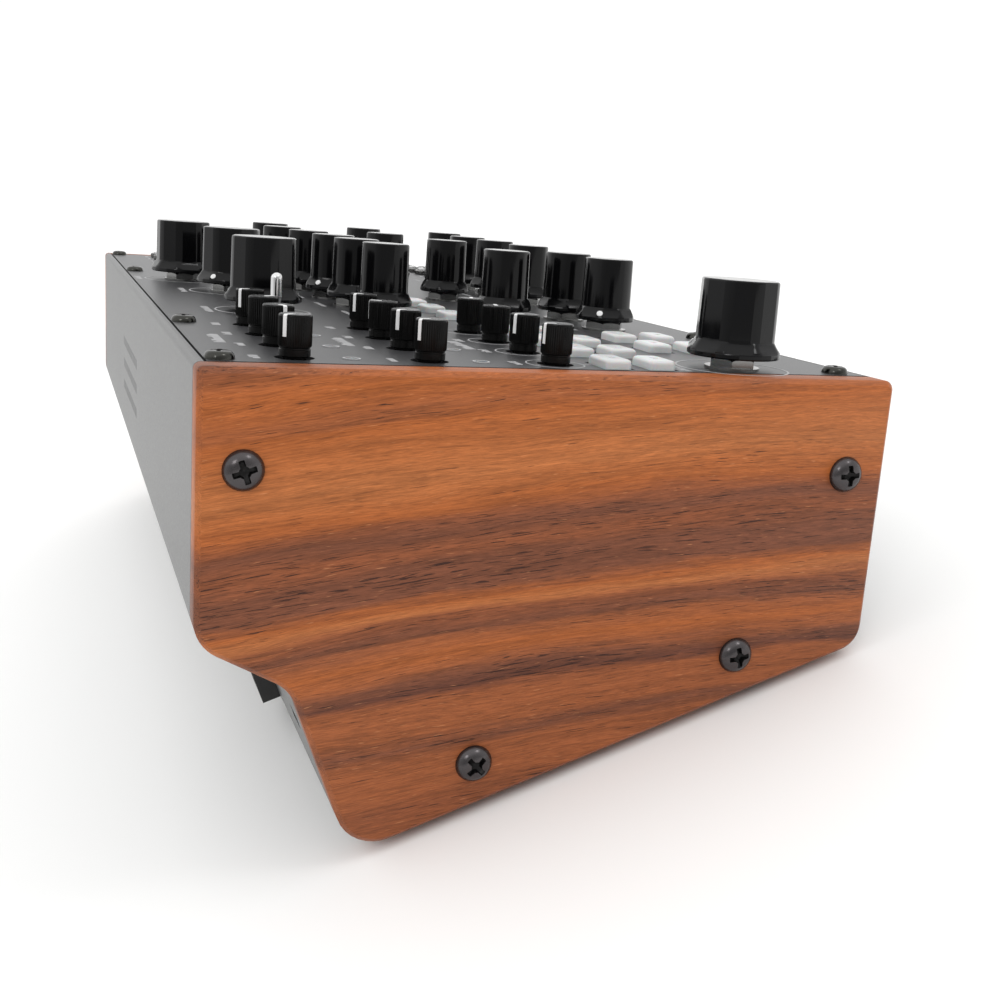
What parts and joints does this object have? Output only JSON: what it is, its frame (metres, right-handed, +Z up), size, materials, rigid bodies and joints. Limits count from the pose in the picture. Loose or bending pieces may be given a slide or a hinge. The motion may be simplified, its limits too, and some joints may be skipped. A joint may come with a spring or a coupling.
{
  "type": "desktop synthesizer",
  "caption": "Desktop semi-modular synthesizer in a sloped metal case between wooden end cheeks, with turning knobs, push buttons, a toggle and a patch bay.",
  "frame": {"origin": "centre of the bounding box's underside, on the floor under the rubber feet", "axes": "+Z up, +X along the instrument to the player's right, the player sits at -Y"},
  "size_m": [0.3232, 0.1396, 0.109],
  "materials": {
    "case_black": "satin black powder coat",
    "panel_charcoal": "satin charcoal, printed in white",
    "walnut": "satin oiled, orange brown",
    "black_screws": "black oxide",
    "dark_steel": "dark nickel, glossy",
    "foot_rubber": "matte",
    "inlet_plastic": "matte",
    "nut_metal": "bright nickel plating",
    "board": "lacquered laminate",
    "pot_plastic": "matte",
    "socket_plastic": "matte",
    "switch_plastic": "matte",
    "lamp_resin": "milky, diffusing",
    "spacer_brass": "plated",
    "toggle_metal": "nickel",
    "toggle_chrome": "polished",
    "knob_black": "glossy black",
    "step_knob_black": "satin black",
    "button_clear": "milky translucent"
  },
  "bodies": {
    "case": {"case_shell": "case_black", "control_panel": "panel_charcoal", "left_end_cheek": "walnut", "right_end_cheek": "walnut", "cheek_screws": "black_screws", "panel_screws": "dark_steel", "rubber_feet": "foot_rubber", "power_inlet": "inlet_plastic", "panel_nuts": "nut_metal", "control_board": "board", "pot_bodies": "pot_plastic", "patch_sockets": "socket_plastic", "tact_switches": "switch_plastic", "indicator_leds": "lamp_resin", "board_spacers": "spacer_brass", "toggle_body": "toggle_metal"},
    "tempo_knob": {"tempo_knob": "knob_black"},
    "oscillator_one_knob": {"oscillator_one_knob": "knob_black"},
    "oscillator_two_knob": {"oscillator_two_knob": "knob_black"},
    "cutoff_knob": {"cutoff_knob": "knob_black"},
    "pitch_knob_1": {"pitch_knob_1": "knob_black"},
    "pitch_knob_2": {"pitch_knob_2": "knob_black"},
    "pitch_knob_3": {"pitch_knob_3": "knob_black"},
    "pitch_knob_4": {"pitch_knob_4": "knob_black"},
    "pitch_knob_5": {"pitch_knob_5": "knob_black"},
    "pitch_knob_6": {"pitch_knob_6": "knob_black"},
    "level_knob_1": {"level_knob_1": "knob_black"},
    "level_knob_2": {"level_knob_2": "knob_black"},
    "level_knob_3": {"level_knob_3": "knob_black"},
    "level_knob_4": {"level_knob_4": "knob_black"},
    "envelope_knob_1": {"envelope_knob_1": "knob_black"},
    "envelope_knob_2": {"envelope_knob_2": "knob_black"},
    "envelope_knob_3": {"envelope_knob_3": "knob_black"},
    "envelope_knob_4": {"envelope_knob_4": "knob_black"},
    "envelope_knob_5": {"envelope_knob_5": "knob_black"},
    "envelope_knob_6": {"envelope_knob_6": "knob_black"},
    "step_knob_1_1": {"step_knob_1_1": "step_knob_black"},
    "step_knob_1_2": {"step_knob_1_2": "step_knob_black"},
    "step_knob_1_3": {"step_knob_1_3": "step_knob_black"},
    "step_knob_1_4": {"step_knob_1_4": "step_knob_black"},
    "step_knob_2_1": {"step_knob_2_1": "step_knob_black"},
    "step_knob_2_2": {"step_knob_2_2": "step_knob_black"},
    "step_knob_2_3": {"step_knob_2_3": "step_knob_black"},
    "step_knob_2_4": {"step_knob_2_4": "step_knob_black"},
    "step_knob_3_1": {"step_knob_3_1": "step_knob_black"},
    "step_knob_3_2": {"step_knob_3_2": "step_knob_black"},
    "step_knob_3_3": {"step_knob_3_3": "step_knob_black"},
    "step_knob_3_4": {"step_knob_3_4": "step_knob_black"},
    "toggle_lever": {"toggle_lever": "toggle_chrome"},
    "rhythm_button_1_1": {"rhythm_button_1_1": "button_clear"},
    "rhythm_button_1_2": {"rhythm_button_1_2": "button_clear"},
    "rhythm_button_1_3": {"rhythm_button_1_3": "button_clear"},
    "rhythm_button_1_4": {"rhythm_button_1_4": "button_clear"},
    "rhythm_button_2_1": {"rhythm_button_2_1": "button_clear"},
    "rhythm_button_2_2": {"rhythm_button_2_2": "button_clear"},
    "rhythm_button_2_3": {"rhythm_button_2_3": "button_clear"},
    "rhythm_button_2_4": {"rhythm_button_2_4": "button_clear"},
    "transport_buttons_left": {"transport_buttons_left": "button_clear"},
    "transport_buttons_right": {"transport_buttons_right": "button_clear"},
    "assign_buttons": {"assign_buttons": "button_clear"}
  },
  "joints": [
    {"name": "tempo_knob_turn", "type": "hinge", "parent": "case", "child": "tempo_knob", "pos_m": [-0.145, -0.04345, 0.06227], "axis": [0, -0.319, 0.9478], "range_deg": [-105, 195]},
    {"name": "oscillator_one_knob_turn", "type": "hinge", "parent": "case", "child": "oscillator_one_knob", "pos_m": [-0.0615, 0.03114, 0.08737], "axis": [0, -0.319, 0.9478], "range_deg": [-115, 185]},
    {"name": "oscillator_two_knob_turn", "type": "hinge", "parent": "case", "child": "oscillator_two_knob", "pos_m": [-0.0082, 0.03143, 0.08747], "axis": [0, -0.319, 0.9478], "range_deg": [-200, 100]},
    {"name": "cutoff_knob_turn", "type": "hinge", "parent": "case", "child": "cutoff_knob", "pos_m": [0.0305, 0.03986, 0.09031], "axis": [0, -0.319, 0.9478], "range_deg": [-90, 210]},
    {"name": "pitch_knob_1_turn", "type": "hinge", "parent": "case", "child": "pitch_knob_1", "pos_m": [-0.0585, 0.00271, 0.0778], "axis": [0, -0.319, 0.9478], "range_deg": [-73, 227]},
    {"name": "pitch_knob_2_turn", "type": "hinge", "parent": "case", "child": "pitch_knob_2", "pos_m": [-0.0372, 0.00489, 0.07854], "axis": [0, -0.319, 0.9478], "range_deg": [-50, 250]},
    {"name": "pitch_knob_3_turn", "type": "hinge", "parent": "case", "child": "pitch_knob_3", "pos_m": [-0.0145, 0.00603, 0.07892], "axis": [0, -0.319, 0.9478], "range_deg": [-195, 105]},
    {"name": "pitch_knob_4_turn", "type": "hinge", "parent": "case", "child": "pitch_knob_4", "pos_m": [0.0105, 0.00792, 0.07956], "axis": [0, -0.319, 0.9478], "range_deg": [-30, 270]},
    {"name": "pitch_knob_5_turn", "type": "hinge", "parent": "case", "child": "pitch_knob_5", "pos_m": [0.0355, 0.01105, 0.08061], "axis": [0, -0.319, 0.9478], "range_deg": [-110, 190]},
    {"name": "pitch_knob_6_turn", "type": "hinge", "parent": "case", "child": "pitch_knob_6", "pos_m": [0.0702, 0.00915, 0.07997], "axis": [0, -0.319, 0.9478], "range_deg": [-60, 240]},
    {"name": "level_knob_1_turn", "type": "hinge", "parent": "case", "child": "level_knob_1", "pos_m": [-0.0598, -0.02667, 0.06792], "axis": [0, -0.319, 0.9478], "range_deg": [-80, 220]},
    {"name": "level_knob_2_turn", "type": "hinge", "parent": "case", "child": "level_knob_2", "pos_m": [-0.0046, -0.0279, 0.0675], "axis": [0, -0.319, 0.9478], "range_deg": [-75, 225]},
    {"name": "level_knob_3_turn", "type": "hinge", "parent": "case", "child": "level_knob_3", "pos_m": [0.0295, -0.01862, 0.07063], "axis": [0, -0.319, 0.9478], "range_deg": [-20, 280]},
    {"name": "level_knob_4_turn", "type": "hinge", "parent": "case", "child": "level_knob_4", "pos_m": [0.0761, -0.0226, 0.06929], "axis": [0, -0.319, 0.9478], "range_deg": [-100, 200]},
    {"name": "envelope_knob_1_turn", "type": "hinge", "parent": "case", "child": "envelope_knob_1", "pos_m": [-0.0773, -0.04601, 0.06141], "axis": [0, -0.319, 0.9478], "range_deg": [-205, 95]},
    {"name": "envelope_knob_2_turn", "type": "hinge", "parent": "case", "child": "envelope_knob_2", "pos_m": [-0.0535, -0.04515, 0.0617], "axis": [0, -0.319, 0.9478], "range_deg": [-40, 260]},
    {"name": "envelope_knob_3_turn", "type": "hinge", "parent": "case", "child": "envelope_knob_3", "pos_m": [-0.0095, -0.05037, 0.05994], "axis": [0, -0.319, 0.9478], "range_deg": [-90, 210]},
    {"name": "envelope_knob_4_turn", "type": "hinge", "parent": "case", "child": "envelope_knob_4", "pos_m": [0.0205, -0.05037, 0.05994], "axis": [0, -0.319, 0.9478], "range_deg": [-55, 245]},
    {"name": "envelope_knob_5_turn", "type": "hinge", "parent": "case", "child": "envelope_knob_5", "pos_m": [0.0455, -0.04942, 0.06026], "axis": [0, -0.319, 0.9478], "range_deg": [-260, 40]},
    {"name": "envelope_knob_6_turn", "type": "hinge", "parent": "case", "child": "envelope_knob_6", "pos_m": [0.0785, -0.05131, 0.05962], "axis": [0, -0.319, 0.9478], "range_deg": [-30, 270]},
    {"name": "step_knob_1_1_turn", "type": "hinge", "parent": "case", "child": "step_knob_1_1", "pos_m": [-0.14576, 0.03872, 0.08992], "axis": [0, -0.319, 0.9478], "range_deg": [-192, 108]},
    {"name": "step_knob_1_2_turn", "type": "hinge", "parent": "case", "child": "step_knob_1_2", "pos_m": [-0.12851, 0.03872, 0.08992], "axis": [0, -0.319, 0.9478], "range_deg": [-255, 45]},
    {"name": "step_knob_1_3_turn", "type": "hinge", "parent": "case", "child": "step_knob_1_3", "pos_m": [-0.11126, 0.03872, 0.08992], "axis": [0, -0.319, 0.9478], "range_deg": [-2, 298]},
    {"name": "step_knob_1_4_turn", "type": "hinge", "parent": "case", "child": "step_knob_1_4", "pos_m": [-0.09401, 0.03872, 0.08992], "axis": [0, -0.319, 0.9478], "range_deg": [-187, 113]},
    {"name": "step_knob_2_1_turn", "type": "hinge", "parent": "case", "child": "step_knob_2_1", "pos_m": [-0.14576, 0.0156, 0.08214], "axis": [0, -0.319, 0.9478], "range_deg": [-179, 121]},
    {"name": "step_knob_2_2_turn", "type": "hinge", "parent": "case", "child": "step_knob_2_2", "pos_m": [-0.12851, 0.0156, 0.08214], "axis": [0, -0.319, 0.9478], "range_deg": [-193, 107]},
    {"name": "step_knob_2_3_turn", "type": "hinge", "parent": "case", "child": "step_knob_2_3", "pos_m": [-0.11126, 0.0156, 0.08214], "axis": [0, -0.319, 0.9478], "range_deg": [-130, 170]},
    {"name": "step_knob_2_4_turn", "type": "hinge", "parent": "case", "child": "step_knob_2_4", "pos_m": [-0.09401, 0.0156, 0.08214], "axis": [0, -0.319, 0.9478], "range_deg": [-185, 115]},
    {"name": "step_knob_3_1_turn", "type": "hinge", "parent": "case", "child": "step_knob_3_1", "pos_m": [-0.14576, -0.00753, 0.07436], "axis": [0, -0.319, 0.9478], "range_deg": [-163, 137]},
    {"name": "step_knob_3_2_turn", "type": "hinge", "parent": "case", "child": "step_knob_3_2", "pos_m": [-0.12851, -0.00753, 0.07436], "axis": [0, -0.319, 0.9478], "range_deg": [-178, 122]},
    {"name": "step_knob_3_3_turn", "type": "hinge", "parent": "case", "child": "step_knob_3_3", "pos_m": [-0.11126, -0.00753, 0.07436], "axis": [0, -0.319, 0.9478], "range_deg": [-50, 250]},
    {"name": "step_knob_3_4_turn", "type": "hinge", "parent": "case", "child": "step_knob_3_4", "pos_m": [-0.09401, -0.00753, 0.07436], "axis": [0, -0.319, 0.9478], "range_deg": [-40, 260]},
    {"name": "toggle_lever_throw", "type": "hinge", "parent": "case", "child": "toggle_lever", "pos_m": [-0.0795, 0.03114, 0.08737], "axis": [1, 0, 0], "range_deg": [-12, 12]},
    {"name": "rhythm_button_1_1_press", "type": "slide", "parent": "case", "child": "rhythm_button_1_1", "axis": [0, -0.319, 0.9478], "range_m": [-0.0005, 0], "stiffness_N_per_m": 600, "springref_m": 0.0005},
    {"name": "rhythm_button_1_2_press", "type": "slide", "parent": "case", "child": "rhythm_button_1_2", "axis": [0, -0.319, 0.9478], "range_m": [-0.0005, 0], "stiffness_N_per_m": 600, "springref_m": 0.0005},
    {"name": "rhythm_button_1_3_press", "type": "slide", "parent": "case", "child": "rhythm_button_1_3", "axis": [0, -0.319, 0.9478], "range_m": [-0.0005, 0], "stiffness_N_per_m": 600, "springref_m": 0.0005},
    {"name": "rhythm_button_1_4_press", "type": "slide", "parent": "case", "child": "rhythm_button_1_4", "axis": [0, -0.319, 0.9478], "range_m": [-0.0005, 0], "stiffness_N_per_m": 600, "springref_m": 0.0005},
    {"name": "rhythm_button_2_1_press", "type": "slide", "parent": "case", "child": "rhythm_button_2_1", "axis": [0, -0.319, 0.9478], "range_m": [-0.0005, 0], "stiffness_N_per_m": 600, "springref_m": 0.0005},
    {"name": "rhythm_button_2_2_press", "type": "slide", "parent": "case", "child": "rhythm_button_2_2", "axis": [0, -0.319, 0.9478], "range_m": [-0.0005, 0], "stiffness_N_per_m": 600, "springref_m": 0.0005},
    {"name": "rhythm_button_2_3_press", "type": "slide", "parent": "case", "child": "rhythm_button_2_3", "axis": [0, -0.319, 0.9478], "range_m": [-0.0005, 0], "stiffness_N_per_m": 600, "springref_m": 0.0005},
    {"name": "rhythm_button_2_4_press", "type": "slide", "parent": "case", "child": "rhythm_button_2_4", "axis": [0, -0.319, 0.9478], "range_m": [-0.0005, 0], "stiffness_N_per_m": 600, "springref_m": 0.0005},
    {"name": "transport_buttons_left_press", "type": "slide", "parent": "case", "child": "transport_buttons_left", "axis": [0, -0.319, 0.9478], "range_m": [-0.0005, 0], "stiffness_N_per_m": 600, "springref_m": 0.0005},
    {"name": "transport_buttons_right_press", "type": "slide", "parent": "case", "child": "transport_buttons_right", "axis": [0, -0.319, 0.9478], "range_m": [-0.0005, 0], "stiffness_N_per_m": 600, "springref_m": 0.0005},
    {"name": "assign_buttons_press", "type": "slide", "parent": "case", "child": "assign_buttons", "axis": [0, -0.319, 0.9478], "range_m": [-0.0005, 0], "stiffness_N_per_m": 600, "springref_m": 0.0005}
  ]
}
